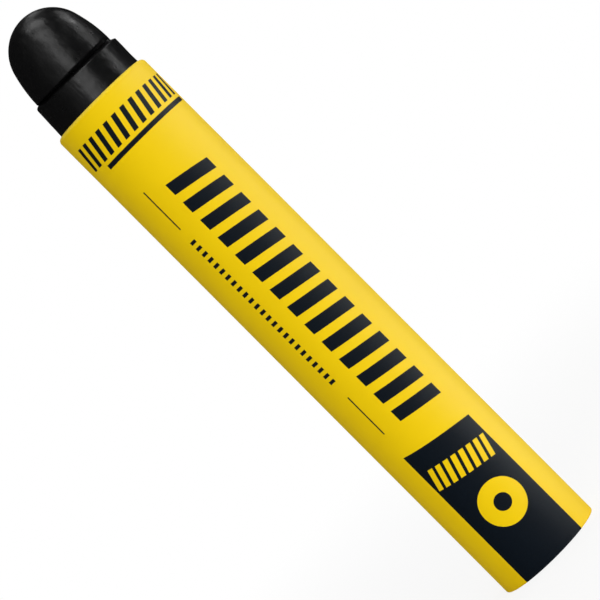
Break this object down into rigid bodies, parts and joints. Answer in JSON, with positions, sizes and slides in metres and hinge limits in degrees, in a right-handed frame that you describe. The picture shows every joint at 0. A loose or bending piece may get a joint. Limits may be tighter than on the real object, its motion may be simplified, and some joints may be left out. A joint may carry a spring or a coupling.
{
  "type": "solid paint stick",
  "caption": "Solid paint marking stick: a cast bar of black paint with a bullet nose, pushed forward by hand in a yellow printed paperboard sleeve.",
  "frame": {"origin": "centre of the sleeve's rear end, in the plane that it stands on", "axes": "+Z along the stick with the nose up, -Y out of the printed front, +X to the right of the print"},
  "size_m": [0.0192, 0.0192, 0.121],
  "materials": {
    "solid_paint": "cast waxy paint, satin with soft broad highlights",
    "paperboard": "unprinted brown board, matt",
    "printed_paper": "yellow printed paper with dark blue-black print, light varnish"
  },
  "bodies": {
    "sleeve": {"sleeve_core": "paperboard", "printed_wrap": "printed_paper"},
    "bar": {"paint_stick": "solid_paint"}
  },
  "joints": [
    {"name": "stick_push", "type": "slide", "parent": "sleeve", "child": "bar", "axis": [0, 0, 1], "range_m": [0, 0.09]}
  ]
}
